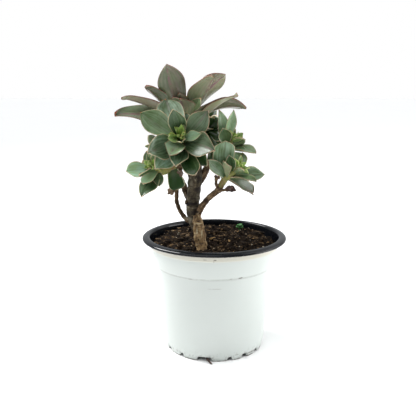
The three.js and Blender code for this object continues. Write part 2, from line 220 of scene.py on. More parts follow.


# Rosettes, laid out by the same rule and the same listed leaves as the solids

# What a rosette has unless its own entry says otherwise
USUAL = dict(hand=1, lean=(92, 14), bend=(15, -20), seen={})
# A listed leaf: [turn, lean, length, width, roll, bend], then its cup and the bluntness of its tip
# A look: [tone, purple flush, bloom]; on some rosettes and leaves the tone is partly painted light and shade
# and the bloom partly a painted sheen
ROSETTES = {
    "front": dict(
        apex=(-28.5, -34, 195), axis=(-0.04, -0.82, 0.57), seed=1, leaves=19, spin=292,
        length=(40, 8), lean=(96, 16), bend=(10, -25), ratio=0.46, drop=14, core=5.0,
        joint=(-18, -4.5, 171, 4.3), look=(0.35, 0.1, 0.4),
        seen={
            0: (291, 68, 38, 15, 8, 10, 0.25, 5), 1: (84, 92, 30, 18, 0, 5), 2: (240, 64, 38, 19, -26, 10),
            3: (314, 86, 30, 15, 15, 10), 4: (108, 86, 42, 24, 0, 0, 0.25, 3), 5: (267, 60, 33, 17, -10, 15),
            6: (33, 49, 36, 19, 22, -8), 7: (223, 54, 38, 22, -32, 10), 8: (325, 59, 40, 22, 20, 10),
            9: (105, 33, 28, 16, 0, 0), 10: (253, 53, 28, 18, -6, 20), 11: (346, 45, 25, 9, 30, 0),
            12: (146, 81, 40, 22, -12, -5), 14: (62, 38, 12, 7, 0, 0), 15: (219, 39, 16, 9, -25, 0),
        },
    ),
    "top": dict(
        apex=(-27, 16, 214), axis=(-0.06, 0.04, 1.0), seed=2, leaves=18, spin=195,
        length=(48, 9), lean=(84, 14), bend=(12, -15), ratio=0.47, drop=14, core=5.5,
        joint=(-20, 8.5, 177.5, 5.4), look=(0.35, 0.95, 0.2),
        seen={
            0: (190, 77, 62, 27, -34, 25), 1: (346, 77, 58, 20, -30, 50),
            2: (190, 63, 60, 15, 26, 30, 0.2, 4), 3: (339, 65, 54, 18, -4, 0, 0.2, 4),
            4: (192, 43, 46, 19, 30, 10), 5: (140, 66, 44, 21, 0, 10), 6: (320, 43, 50, 24, -14, 0, 0.6),
            7: (266, 49, 29, 22, -12, 0, 0.3, 3), 8: (240, 25, 52, 26, 22, -10, 0.4),
            9: (331, 50, 55, 19, -44, 5, 0.3, 2.6), 12: (308, 60, 28, 10, -57, 0, 0.4, 1.3),
        },
    ),
    "left_low": dict(
        apex=(-55, -8, 167), axis=(-0.72, -0.45, 0.53), seed=3, leaves=14, spin=258,
        length=(28, 6), ratio=0.5, drop=11.6, core=3.4, joint=(-34.2, 0.4, 164.6, 2.4), look=(0.4, 0.05, 0.4),
        seen={
            0: (256, 66, 34, 16, -45, 20), 1: (111, 95, 24, 12, 20, 0), 2: (69, 28, 20, 11, 55, 0),
            3: (276, 90, 18, 10, -40, 0), 4: (11, 40, 20, 11, -80, 0), 5: (262, 59, 24, 10, -45, 0, 0.4, 6),
            7: (103, 65, 20, 12, 15, 0), 8: (254, 45, 20, 9, 2, 4), 10: (220, 36, 25, 16, -38, 4, 0.3, 3),
        },
        stray=dict(start=(-37, -3, 162.5), end=(-31.5, -9, 145.8), width=14, bend=20, blunt=6, foot=0.7),
    ),
    "right_low": dict(
        apex=(22, -14, 166), axis=(0.7, -0.38, 0.6), seed=4, leaves=13, spin=283, hand=-1,
        length=(30, 6), ratio=0.46, drop=18, core=3.2, joint=(5.2, -5.7, 148.2, 2.8), look=(0.4, 0.1, 0.4),
        seen={
            0: (158, 45, 35, 19, -76, 0, 0.25, 6), 1: (187, 77, 27, 11, -65, 0),
            2: (5, 87, 31, 15, 5, 10, 0.5, 8), 3: (201, 54, 24, 10, 40, 0, 0.5, 1.2),
            4: (306, 40, 27, 10, 25, 8), 5: (16, 58, 31, 14, 22, -10), 6: (182, 52, 21, 10, -80, 0),
            7: (92, 55, 20, 15, -33, 0, 0.25, 3),
        },
    ),
    "right_mid": dict(
        apex=(18, 4, 189), axis=(0.62, -0.35, 0.7), seed=5, leaves=13, spin=120,
        length=(30, 6), lean=(90, 14), bend=(10, -20), ratio=0.5, drop=14, core=3.2,
        joint=(1, 7.4, 174.2, 2.8), look=(0.3, 0.1, 0.3),
        seen={
            0: (160, 47, 36, 12, -45, 0, 0.5), 1: (164, 27, 37, 10, -60, 0, 0.5),
            2: (317, 47, 30, 12, 30, 30), 3: (304, 49, 22, 11, 20, 0), 4: (189, 52, 20, 13, -75, 0),
            5: (309, 23, 18, 9, -40, 0), 6: (233, 130, 26, 14, -14, 0), 7: (249, 136, 24, 13, 2, 0),
        },
    ),
    "back": dict(
        apex=(-6, 46, 198), axis=(0.25, 0.8, 0.55), seed=6, leaves=13, spin=40,
        length=(36, 6), ratio=0.48, drop=12, core=4.2, joint=(-12, 26.5, 182.5, 3.5), look=(-0.1, 0.05, 0),
        seen={
            0: (289, 101, 25, 14, -2, 0), 1: (303, 103, 29, 15, -17, 0), 2: (287, 130, 24, 13, 4, 0),
            3: (328, 128, 30, 14, -57, 0), 4: (82, 71, 30, 16, -31, 0), 5: (357, 141, 34, 15, -65, 0),
            6: (78, 89, 34, 16, -25, 0),
        },
    ),
    "left_back": dict(
        apex=(-52, 27, 180), axis=(-0.7, 0.5, 0.45), seed=7, leaves=11, spin=80, hand=-1,
        length=(26, 6), ratio=0.5, drop=10, core=3.2, joint=(-38, 17, 172, 2.8), look=(0.3, 0.1, 0.3),
    ),
}

# The looks of leaves that differ from the rest of their rosette. Many of these tones and blooms stand in for
# light and shade: raised as painted light and painted sheen on leaves that lie in shade, lowered as painted
# shade on others
LEAF_LOOKS = {
    "front": {
        0: (0, 0, 0), 1: (0.1, 0, 0.1), 2: (0.5, 0, 1.7), 3: (0, 0, 0), 4: (0.5, 0.4, 1.5), 5: (0.05, 0, 0.5),
        6: (0.3, 0.45, 0.4), 7: (0.2, 0.2, 0.5), 8: (0.05, 0.5, 0.35), 9: (0.05, 0.05, 0.15),
        10: (1.1, 0.7, 1), 11: (1.1, 0.2, 1.3), 12: (0.3, 0.15, 0.3),
    },
    "top": {
        0: (0.4, 1, 0.2), 1: (0.3, 0.85, 0), 2: (1.2, 0.9, 0.3), 3: (1.5, 0.7, 0.6), 4: (0.25, 0.9, 0.1),
        6: (0.75, 0.75, 0.6), 7: (0.5, 0.95, 0.2), 9: (0.9, 1, 0.3), 12: (0.45, 0, 1.3),
    },
    "left_low": {
        0: (0.15, 0, 0.2), 2: (0.3, 0, 0.4), 3: (0.2, 0, 0.2), 4: (0.4, 0, 0.4), 5: (1.2, 0.1, 0.8),
        8: (0, 0, 0), 10: (1.6, 0, 2.2),
    },
    "right_low": {
        0: (0.5, 0.1, 0.9), 1: (0.4, 0.2, 0.6), 2: (0.1, 0.5, 0), 3: (1.3, 0.3, 0.7), 4: (0.6, 0.2, 0.3),
        5: (0.4, 0.2, 0.55), 6: (0, 0, 0.1), 7: (0.7, 0.1, 0.9),
    },
    "right_mid": {
        0: (1.3, 0.2, 1), 1: (0.9, 0.1, 1), 2: (0.6, 0.5, 0.5), 3: (0.5, 0.2, 0.4), 4: (0.2, 0, 0),
        6: (0, 0, 0), 7: (0, 0, 0),
    },
}

# Newborn leaves in the heart of a rosette, apart from those that show none
CROWN_LEAVES = 8
BARE_HEARTS = ("top", "back", "left_back")

# A blade longer than this gets the finer grid, in millimetres
LARGE_BLADE = 24


def growth(rosette, turn=0.0):
    """The way up through a rosette's heart, and the way out of it at a turn in degrees."""
    up = unit(rosette["axis"])
    side = unit(np.array([1.0, 0, 0]) - up * up[0])
    turn = radians(turn)
    return up, side * cos(turn) + np.cross(up, side) * sin(turn)


def spoon(u, blunt, foot):
    """Half-width of a spoon-shaped leaf along its length, as a share of the widest place."""
    widest = 0.64
    lower = foot + (1 - foot) * np.sin((pi / 2) * np.minimum(1, u / widest)) ** 1.5
    past = np.clip((u - widest) / (1 - widest), 0, 1)
    upper = (1 - past ** blunt) ** 0.95
    return np.where(u < widest, lower, np.maximum(0.012, upper))


def blade(shape, root, up, radial, long, width, bend, seed, lean=90, roll=0, cup=-0.2, blunt=1.8,
          foot=0.3, age=0, tone=0, purple=0, bloom_and_sheen=0, crumple=0):
    """One leaf: a fleshy blade with a waved margin, a groove above and a keel below."""
    rows, columns = (26, 17) if long > LARGE_BLADE else (18, 11)
    u = (1 - (1 - np.linspace(0, 1, rows)) ** 1.35)[:, None]
    v = np.sin(np.linspace(-pi / 2, pi / 2, columns))
    edge = np.abs(v)

    # The spine is an arc from the root, and the blade rolls about it
    bend = radians(bend or 0.01)
    start = radians(lean) - bend / 2
    lean = start + bend * u
    roll = radians(roll)
    rise = long * (np.sin(lean) - sin(start)) / bend
    reach = -long * (np.cos(lean) - cos(start)) / bend
    tangent = np.cross(up, radial)
    face = np.sin(lean) * up - np.cos(lean) * radial
    broad = tangent * cos(roll) + face * sin(roll)
    normal = face * cos(roll) - tangent * sin(roll)
    sway = 0.04 * long * jitter(seed, 9) * np.sin(pi * u)
    spine = root + rise * up + reach * radial + sway * broad

    # The margin waves a little and the tip turns back
    half = (width / 2) * spoon(u, blunt, foot)
    ripples = u * (8 + 3 * jitter(seed, 8)) + 3 * jitter(seed, 7) + 1.2 * np.sign(v)
    wave = 0.075 * width * np.sin(ripples) * edge ** 3 * smooth(0.1, 0.5, u)
    tip = -0.03 * long * smooth(0.88, 1.0, u) * (1 - edge)
    lift = cup * half * edge ** 1.5 + wave + tip
    sideways = half * v * (1 - 0.15 * cup * edge)

    # Small blades have a fainter groove and keel and less flesh
    grown = min(1, long / 30)
    groove = -0.22 * grown * np.exp(-(v / 0.16) ** 2) * (1 - 0.6 * u)
    keel = 0.35 * grown * np.exp(-(v / 0.14) ** 2) * (1 - 0.7 * u)
    body = mix((2.6, 1.1), u) * grown
    depth = MARGIN_THICKNESS + np.maximum(0, body - MARGIN_THICKNESS) * (1 - edge ** 1.5) + keel
    depth *= np.minimum(1, 0.35 + half / 3)

    def surface(offset):
        place = sideways[..., None] * broad[:, None] + offset[..., None] * normal[:, None]
        return (spine[:, None] + place).reshape(-1, 3)

    points = np.concatenate([surface(lift + groove), surface(lift - depth)])
    if crumple:
        points = [crumpled(p, crumple, seed) for p in points]

    # The margin's channel is narrower on a narrow blade
    rim = np.minimum((1 - edge) * half, (1 - u) * long * 0.8) / min(4.0, 0.3 * width)
    across, along = np.broadcast_arrays(v * 0.5 + 0.5, u)
    place = [np.stack([np.clip(rim, 0, 1), along, np.full_like(rim, top), across], axis=-1) for top in (1, 0)]
    look = (tone, purple, bloom_and_sheen, age)
    shape.add(points, blade_faces(rows, columns), np.reshape(place, (-1, 4)), look)


def blade_faces(rows, columns):
    """The upper and the lower face of a blade, sewn together all round."""
    count = rows * columns
    last = count - columns
    sewn = [(j, j + 1) for j in range(columns - 1)]
    sewn += [(last + j + 1, last + j) for j in range(columns - 1)]
    sewn += [(i, i + columns) for i in range(0, last, columns)]
    sewn += [(i + columns, i) for i in range(columns - 1, last, columns)]
    above = grid_faces(rows, columns, closed=False)
    below = grid_faces(rows, columns, start=count, flip=True, closed=False)
    return above + below + [(a, b, count + b, count + a) for a, b in sewn]


def crumpled(p, amount, seed):
    """A point of a shrivelled blade, moved by up to about this many millimetres."""
    seeds = [seed + offset for offset in (0.0, 11.3, 23.7)]
    return p + amount * np.array([bumps(p, 2.4, s) + 0.5 * bumps(p, 1.1, s) for s in seeds])


def leaf(shape, name, k):
    """Leaf k of a rosette. Its age is 0 for the oldest leaf and 1 for the newest."""
    rosette = USUAL | ROSETTES[name]
    seed = rosette["seed"]
    age = k / (rosette["leaves"] - 1)
    length = mix(rosette["length"], age ** 1.4)
    grown = (
        rosette["spin"] + rosette["hand"] * GOLDEN_ANGLE * k + 5 * jitter(seed, k),
        mix(rosette["lean"], age) + 4 * jitter(seed + 10, k),
        length,
        length * rosette["ratio"] * (1 - 0.1 * age),
        6 * jitter(seed + 20, k),
        mix(rosette["bend"], age),
    )
    turn, lean, long, width, roll, bend, *extra = rosette["seen"].get(k, grown)
    usual = (mix((0.25, 0.55), age), 1.8)
    cup, blunt = (*extra, *usual[len(extra):])
    tone, purple, bloom_and_sheen = LEAF_LOOKS.get(name, {}).get(k, rosette["look"])
    up, radial = growth(rosette, turn)
    root = rosette["apex"] - up * rosette["drop"] * (1 - age) + radial * rosette["core"] * (0.4 - 0.28 * age)
    blade(shape, root, up, radial, long, width, bend, seed * 31 + k, lean=lean, roll=roll, cup=cup,
          blunt=blunt, age=age, tone=tone + 0.1 * jitter(seed + 40, k), purple=purple, bloom_and_sheen=bloom_and_sheen)


def stray_leaf(shape, start, end, **details):
    """A leaf that hangs from a stem, its face to the viewer."""
    run = np.subtract(end, start)
    radial = unit(run)
    up = unit(np.array([0.0, -1, 0]) + radial * radial[1])
    blade(shape, start, up, radial, np.linalg.norm(run), **details)


def crown(shape, name):
    """Slender newborn leaves, twisted together in the heart of a rosette."""
    rosette = ROSETTES[name]
    seed = 500 + rosette["seed"]
    for i in range(CROWN_LEAVES):
        up, radial = growth(rosette, rosette["spin"] + i * GOLDEN_ANGLE)
        long = rosette["length"][1] * mix((1.0, 1.7), draw(seed, i))
        width = mix((3.2, 5.8), draw(seed + 20, i))
        blade(shape, rosette["apex"] - up * 2 + radial * 1.2, up, radial, long, width,
              35 * jitter(seed + 80, i), seed * 31 + i, lean=mix((12, 62), draw(seed + 40, i)),
              roll=80 * jitter(seed + 60, i), cup=0.7, blunt=1.6, age=0.92,
              tone=0.5 + 0.4 * jitter(seed + 100, i), bloom_and_sheen=0.1)


def stem_start(rosette):
    """Where a rosette's green stem leaves its branch, and on from there by a distance."""
    joint = np.array(rosette["joint"][:3])
    heading = unit(rosette["apex"] - growth(rosette)[0] * rosette["drop"] - joint)
    return lambda distance: [*(joint + heading * distance), rosette["joint"][3]]


def stem_relief(point, along, angle):
    """Old leaf scars: low rings round a green stem."""
    return 0.16 * sin(along * 2.1 + 1.5 * sin(angle)) + 0.25 * bumps(point, 2.5)


def rosette_stem(name):
    rosette = ROSETTES[name]
    at = stem_start(rosette)
    up = growth(rosette)[0]
    stations = [at(GAP), at(3)]
    for back, share in ((rosette["drop"], 0.9), (rosette["drop"] * 0.5, 0.7), (-0.5, 0.4)):
        stations.append([*(rosette["apex"] - up * back), rosette["core"] * share])
    stem = Shape()
    # The back rosette's stem gets a low look value, which darkens it as painted shade
    light = 0.2 if name == "back" else 1
    limb(stem, stations, 0.6, 24, stem_relief, look=(light, 0, 0, 1))
    return stem


def build_rosette(name, leaf_material, stem_material):
    rosette = ROSETTES[name]
    leaves = Shape()
    for k in range(rosette["leaves"]):
        leaf(leaves, name, k)
    if name not in BARE_HEARTS:
        crown(leaves, name)
    if "stray" in rosette:
        stray_leaf(leaves, seed=77, tone=-0.25, **rosette["stray"])
    node = "rosette_" + name
    slot = "leaf_purple" if name == "top" else "leaf_green"
    leaves.build(node + "_leaves", node, slot, leaf_material)
    rosette_stem(name).build(node + "_stem", node, slot, stem_material)


# Node helpers for materials


class Nodes:
    """A small writer of shader node trees, for a material or the world."""

    def __init__(self, owner):
        owner.use_nodes = True
        self.owner = owner
        self.tree = owner.node_tree
        self.shader = self.tree.nodes.get("Principled BSDF")

    def add(self, kind, *values, settings=(), **inputs):
        """A new node. The values fill its first inputs in order, and the other inputs are named."""
        node = self.tree.nodes.new(kind)
        for key, value in dict(settings).items():
            setattr(node, key, value)
        for index, value in enumerate(values):
            self.set(node, index, value)
        for key, value in inputs.items():
            self.set(node, key.replace("_", " "), value)
        return node

    def set(self, node, key, value):
        """Links or sets an input. A plain colour is (red, green, blue)."""
        socket = node.inputs[key]
        if isinstance(value, bpy.types.NodeSocket):
            self.tree.links.new(value, socket)
        else:
            socket.default_value = (*value, 1.0) if socket.type == "RGBA" else value

    def number(self, operation, a, b=0.5, clamp=False):
        settings = {"operation": operation, "use_clamp": clamp}
        return self.add("ShaderNodeMath", a, b, settings=settings).outputs[0]

    def times(self, a, b, clamp=False):
        return self.number("MULTIPLY", a, b, clamp)

    def plus(self, a, b, clamp=False):
        return self.number("ADD", a, b, clamp)

    def minus(self, a, b):
        return self.number("SUBTRACT", a, b)

    def line(self, value, slope, offset):
        return self.plus(self.times(value, slope), offset)

    def blend(self, factor, a, b):
        node = self.add("ShaderNodeMix", factor, settings={"data_type": "RGBA"})
        self.set(node, 6, a)
        self.set(node, 7, b)
        return node.outputs[2]

    def step(self, value, low, high, top=1.0):
        """0 below low and top above high, smooth between."""
        settings = {"interpolation_type": "SMOOTHSTEP"}
        return self.add("ShaderNodeMapRange", value, low, high, 0.0, top, settings=settings).outputs[0]

    def channels(self, attribute):
        """The three colour channels and the alpha channel of a point attribute."""
        node = self.add("ShaderNodeAttribute", settings={"attribute_name": attribute})
        return *self.split(node.outputs["Color"], "Color"), node.outputs["Alpha"]

    def split(self, value, kind="XYZ"):
        return self.add("ShaderNodeSeparate" + kind, value).outputs[:3]

    def coordinates(self, scale=(1, 1, 1)):
        place = self.add("ShaderNodeTexCoord").outputs["Object"]
        return self.add("ShaderNodeMapping", Vector=place, Scale=scale).outputs[0]

    def noise(self, scale, detail=4.0, roughness=0.55, vector=None):
        node = self.add("ShaderNodeTexNoise", Scale=scale, Detail=detail, Roughness=roughness,
                        Vector=vector or self.coordinates())
        return node.outputs["Fac"]

    def point(self, x, y, z):
        """A place for a noise, from three numbers."""
        return self.add("ShaderNodeCombineXYZ", x, y, z).outputs[0]

    def bump(self, height, strength, distance):
        node = self.add("ShaderNodeBump", Strength=strength, Distance=distance, Height=height)
        self.set(self.shader, "Normal", node.outputs[0])

    def finish(self, colour, roughness, **others):
        for key, value in {"Base Color": colour, "Roughness": roughness, **others}.items():
            self.set(self.shader, key.replace("_", " "), value)
        return self.owner


def paint(name):
    return Nodes(bpy.data.materials.new(name))


# Materials


def leaf_material():
    """Fleshy leaves, from green to purple. The rim channel grows from the margin, top is 1 above."""
    n = paint("aeonium_leaf")
    rim, along, top, across = n.channels("place")
    tone, purple, bloom_and_sheen, age = n.channels("look")
    patches = n.noise(75)
    fine = n.noise(480)
    streaks = n.noise(1.0, vector=n.point(n.times(across, 15), n.times(along, 1.8), n.times(tone, 40)))
    mottle = n.plus(n.times(patches, 0.5), n.times(streaks, 0.5))
    shade = n.plus(tone, n.times(n.minus(mottle, 0.5), 1.7), clamp=True)
    young = n.times(n.step(age, 0.6, 1.0), n.step(bloom_and_sheen, 1.0, 0.5))
    green = leaf_green(n, shade, young, streaks, along, age)

    # A waxy bloom greys and lightens the upper face; where the bloom is set high, the lighter face is a
    # painted sheen
    wax_and_sheen = n.times(bloom_and_sheen, n.step(mottle, 0.35, 0.7))
    upper = n.blend(n.times(wax_and_sheen, 0.5, clamp=True), green, (0.38, 0.56, 0.44))
    under = n.blend(n.times(tone, 0.5, clamp=True), green, (0.24, 0.26, 0.15))
    colour = leaf_flush(n, n.blend(top, under, upper), shade, purple, streaks, along, top)

    # A purple stripe along the middle near the tip
    off_middle = n.number("ABSOLUTE", n.minus(across, 0.5))
    stripe = n.times(n.step(off_middle, 0.07, 0.02), n.step(along, 0.35, 0.8))
    stripe = n.times(stripe, n.times(purple, n.step(fine, 0.35, 0.55)))
    colour = n.blend(n.times(stripe, 0.95, clamp=True), colour, (0.19, 0.09, 0.105))

    colour = leaf_margin(n, colour, rim, fine, patches, purple, young)
    n.bump(n.plus(n.times(streaks, 0.6), n.times(fine, 0.4)), 0.3, 0.0005)
    return n.finish(colour, n.line(fine, 0.16, 0.22), Specular_IOR_Level=0.4, Subsurface_Weight=0.08,
                    Subsurface_Scale=0.0012)


def leaf_green(n, shade, young, streaks, along, age):
    """Dark to pale green, fresh on young leaves, yellower at the base, and darker at the base of older blades
    as painted shade where the blades crowd.
    """
    green = n.blend(shade, (0.017, 0.046, 0.01), (0.215, 0.32, 0.15))
    fresh = n.blend(streaks, (0.17, 0.32, 0.045), (0.48, 0.68, 0.16))
    green = n.blend(n.times(young, 0.85), green, fresh)
    green = n.blend(n.step(along, 0.4, 0.05, 0.25), green, (0.15, 0.23, 0.04))
    # Painted shade: older blades are darkened near their base, in the shaded heart of the rosette
    painted_base_shade = n.times(n.step(along, 0.35, 0.0), n.step(age, 0.8, 0.4, 0.6))
    return n.blend(painted_base_shade, green, (0.008, 0.024, 0.005))


def leaf_flush(n, colour, shade, purple, streaks, along, top):
    """A purple flush in streaks, strongest on the underside and towards the tip."""
    uneven = n.line(n.step(n.noise(45, 2), 0.38, 0.6), 0.5, 0.5)
    flush = n.times(n.times(purple, n.step(streaks, 0.2, 0.6)), n.times(uneven, n.step(along, 0.0, 0.5)))
    dusk = n.blend(shade, (0.062, 0.036, 0.028), (0.3, 0.225, 0.19))
    under = n.blend(n.times(flush, 0.85, clamp=True), colour, dusk)
    upper = n.blend(n.times(flush, 0.4, clamp=True), colour, (0.17, 0.1, 0.11))
    return n.blend(top, under, upper)


def leaf_margin(n, colour, rim, fine, patches, purple, young):
    """A cream margin with a thin brown-pink edge, dark red on the purple leaves."""
    place = n.plus(rim, n.times(n.minus(fine, 0.5), 0.14))
    cream = n.blend(purple, (0.56, 0.56, 0.34), (0.2, 0.105, 0.065))
    cream = n.blend(young, cream, (0.52, 0.64, 0.2))
    broken = n.line(n.step(patches, 0.35, 0.6), 0.5, 0.4)
    colour = n.blend(n.times(n.step(place, 0.22, 0.09), broken), colour, cream)
    red = n.blend(n.step(purple, 0.5, 0.9), (0.33, 0.2, 0.125), (0.11, 0.016, 0.013))
    edge = n.times(n.step(place, 0.1, 0.01), n.minus(0.75, n.times(young, 0.65)))
    return n.blend(edge, colour, red)


def stem_material():
    n = paint("green_stem")
    share = n.channels("place")[0]
    blotch = n.noise(260)
    colour = n.blend(n.step(blotch, 0.35, 0.7), (0.18, 0.195, 0.045), (0.33, 0.31, 0.085))
    brown = n.times(n.step(share, 0.5, 0.0), n.step(blotch, 0.3, 0.6))
    colour = n.blend(brown, colour, (0.19, 0.09, 0.038))
    # A low look value darkens a stem to deep green, as painted shade
    colour = n.blend(n.channels("look")[0], (0.02, 0.036, 0.01), colour)
    n.bump(blotch, 0.4, 0.0005)
    return n.finish(colour, n.line(blotch, 0.2, 0.4))


def smudges(n, marks, ragged):
    """Ragged smudges. A mark is [x, z, half width, half height, strength], in mm from the pot's axis."""
    place = n.split(n.coordinates())
    total = 0.0
    for mark_x, mark_z, half_width, half_height, strength in marks:
        across = n.number("DIVIDE", n.minus(place[0], AXIS[0] + mark_x * MM), half_width * MM)
        up = n.number("DIVIDE", n.minus(place[2], mark_z * MM), half_height * MM)
        square = n.plus(n.times(across, across), n.times(up, up))
        spot = n.step(n.plus(square, n.times(ragged, 2.4)), 2.2, 1.1, strength)
        total = n.plus(total, spot, clamp=True)
    return total


# Marks on the stems: dark rings and pale marks, the pale ones partly painted highlights
DARK_RINGS = [
    (-19, 132.5, 7.5, 1.3, 0.95), (-24, 132, 2.5, 1.8, 1), (-17.5, 125.5, 5.5, 1.6, 0.9),
    (-14.5, 144.5, 3.4, 3.6, 0.9), (-19.5, 121, 5, 0.8, 0.5), (-15, 156, 5, 0.9, 0.5),
    (-12, 164, 3, 1.6, 0.7), (-21, 139, 3, 0.9, 0.5), (-14, 118.6, 5, 0.8, 0.9),
    (-13.8, 114.8, 4.2, 0.5, 0.7), (-13.6, 103.6, 1.1, 1.3, 1), (-10.5, 100, 1.3, 0.7, 0.9),
    (-14.6, 99.8, 1, 0.8, 0.7), (-10.4, 106.5, 0.8, 1.6, 0.6),
]
PALE_MARKS_AND_HIGHLIGHTS = [
    (-23.5, 129.6, 2.4, 0.8, 0.9), (-19, 128.8, 5, 0.7, 0.5), (-15, 138, 1.8, 5, 0.5), (-20, 150, 2, 5, 0.5),
    (-21.7, 118, 3.2, 4, 0.5), (-26, 118.5, 2.6, 2.4, 0.5), (-13.8, 116.6, 4.4, 0.6, 0.8),
    (-15.2, 110.5, 1.1, 3.6, 0.9), (-11, 108, 1, 4, 0.6), (-12.5, 104, 1.2, 1.2, 0.6),
]


def bark_material(name, dark, light, pale):
    """Mottled bark: streaks of two tones, pale flakes, dark pits, dark rings where old leaves stood, and pale
    marks that are partly scars and partly painted highlights.
    """
    n = paint(name)
    along, cosine, sine = n.channels("place")[1:]
    broad = n.noise(170, 5, 0.7)
    fine = n.noise(620, 5, 0.7)
    pits = n.noise(400, 5, 0.75)
    grain = n.noise(1.0, 4, 0.65, n.point(n.times(cosine, 3), n.times(sine, 3), n.times(along, 16)))
    cracks = n.noise(1.0, 3, 0.6, n.point(cosine, sine, n.times(along, 75)))
    tones = n.plus(n.times(broad, 0.5), n.times(grain, 0.5))
    colour = n.blend(n.step(tones, 0.4, 0.6), dark, light)
    flakes = n.times(n.step(grain, 0.54, 0.64), n.step(fine, 0.42, 0.6, 0.75))
    colour = n.blend(flakes, colour, pale)
    # Pale marks: partly pale scars, partly painted highlights on the stems
    colour = n.blend(smudges(n, PALE_MARKS_AND_HIGHLIGHTS, broad), colour, pale)
    colour = n.blend(n.step(cracks, 0.42, 0.34, 0.6), colour, (0.02, 0.012, 0.007))
    colour = n.blend(n.step(pits, 0.41, 0.33, 0.85), colour, (0.014, 0.009, 0.005))
    colour = n.blend(smudges(n, DARK_RINGS, broad), colour, (0.014, 0.009, 0.007))
    n.bump(n.plus(n.times(fine, 0.6), n.plus(grain, n.times(cracks, 0.7))), 0.9, 0.0012)
    return n.finish(colour, n.line(fine, 0.3, 0.45), Specular_IOR_Level=0.2)


def dry_material():
    n = paint("dry_leaf")
    blotch = n.noise(500)
    colour = n.blend(n.channels("look")[0], (0.03, 0.012, 0.008), (0.26, 0.18, 0.11))
    colour = n.blend(n.step(blotch, 0.4, 0.65, 0.6), colour, (0.095, 0.036, 0.022))
    n.bump(blotch, 0.8, 0.0008)
    return n.finish(colour, n.line(blotch, 0.3, 0.45))


# Dirt on the white wall
WALL_MARKS = [
    (22.2, 77.7, 2.6, 1, 0.9), (14, 77.6, 2, 0.5, 0.7), (-7.5, 96.6, 2.2, 0.5, 0.8),
    (0.8, 96.4, 1.8, 0.8, 0.9), (-0.4, 94.9, 0.9, 1, 0.6), (0.8, 69, 8.5, 0.5, 0.3), (33, 3.2, 5, 1.1, 0.7),
    (20, 5, 2.5, 0.8, 0.5), (-20, 76.6, 3, 0.5, 0.5),
]


def white_plastic():
    """Satin white skin with a cream band under the rim, a painted shadow along the step, a dirty foot whose
    bottom edge is darkened as dirt and painted contact shadow, and a few scuffs.
    """
    n = paint("pot_white_skin")
    place = n.split(n.coordinates())

    def by_height(low, high, top=1.0):
        return n.step(place[2], low * MM, high * MM, top)

    grain = n.noise(900, 3)
    spots = n.noise(330, 5, 0.7)
    colour = n.blend(n.noise(28, 2), (0.515, 0.556, 0.53), (0.56, 0.595, 0.572))
    colour = n.blend(by_height(93.5, 95.5, 0.85), colour, (0.52, 0.495, 0.415))
    # Painted shadow: a soft grey band along the step of the wall
    painted_step_shadow = n.times(by_height(75.6, 76.8), by_height(78.3, 77.7, 0.25))
    painted_step_shadow = n.times(painted_step_shadow, n.step(spots, 0.2, 0.6))
    splashes = n.times(by_height(11, 0), n.step(spots, 0.5, 0.66, 0.5))
    # The foot's bottom edge: dirt and a painted contact shadow
    foot_dirt_and_shadow = n.times(by_height(1.3, 0.3), n.step(spots, 0.3, 0.5, 0.9))
    flecks = n.step(n.noise(230, 6, 0.75), 0.71, 0.77, 0.5)
    front = n.step(place[1], AXIS[1], AXIS[1] - 10 * MM)
    dirt_and_shade = n.times(smudges(n, WALL_MARKS, spots), front)
    for more in (painted_step_shadow, splashes, foot_dirt_and_shadow, flecks):
        dirt_and_shade = n.number("MAXIMUM", dirt_and_shade, more)
    # Dirt, scuffs and the painted shadows darken the skin
    colour = n.blend(dirt_and_shade, colour, (0.085, 0.065, 0.048))
    n.bump(grain, 0.08, 0.0002)
    return n.finish(colour, n.line(grain, 0.12, 0.36))


def black_plastic():
    """Glossy black lip and inner wall, with fine scratches and dust."""
    n = paint("pot_black_skin")
    dust = n.noise(700, 5, 0.7)
    wipe = n.noise(80, 3, 0.5, n.coordinates((1, 1, 6)))
    colour = n.blend(n.step(dust, 0.5, 0.75), (0.004, 0.005, 0.007), (0.014, 0.016, 0.02))
    n.bump(wipe, 0.06, 0.0004)
    return n.finish(colour, n.line(wipe, 0.1, 0.07), Specular_IOR_Level=0.22)


def soil_material():
    n = paint("potting_mix")
    clods = n.noise(170, 6, 0.7)
    grains = n.noise(900, 5, 0.75)
    colour = n.blend(n.step(clods, 0.4, 0.7), (0.003, 0.002, 0.0015), (0.022, 0.012, 0.006))
    colour = n.blend(n.step(grains, 0.54, 0.68, 0.6), colour, (0.15, 0.092, 0.046))
    n.bump(n.plus(clods, grains), 1.0, 0.0018)
    return n.finish(colour, n.line(grains, 0.2, 0.75), Specular_IOR_Level=0.08)


def bits_material():
    """Loose bits in the mix. The look channel runs from black crumbs over brown bark to pale grains."""
    n = paint("soil_bits")
    kind, warm = n.channels("look")[:2]
    grains = n.noise(1100, 4, 0.7)
    dark = n.blend(n.step(grains, 0.4, 0.65), (0.003, 0.002, 0.0015), (0.034, 0.02, 0.01))
    bark = n.blend(n.step(grains, 0.35, 0.65), (0.014, 0.008, 0.004), (0.21, 0.135, 0.07))
    bark = n.blend(n.step(warm, 0.85, 0.97), bark, (0.3, 0.185, 0.08))
    pale = n.blend(warm, (0.52, 0.47, 0.37), (0.36, 0.24, 0.13))
    colour = n.blend(n.step(kind, 0.2, 0.5), dark, bark)
    colour = n.blend(n.step(kind, 0.7, 0.9), colour, pale)
    n.bump(grains, 0.8, 0.0006)
    return n.finish(colour, n.line(grains, 0.25, 0.65), Specular_IOR_Level=0.12)


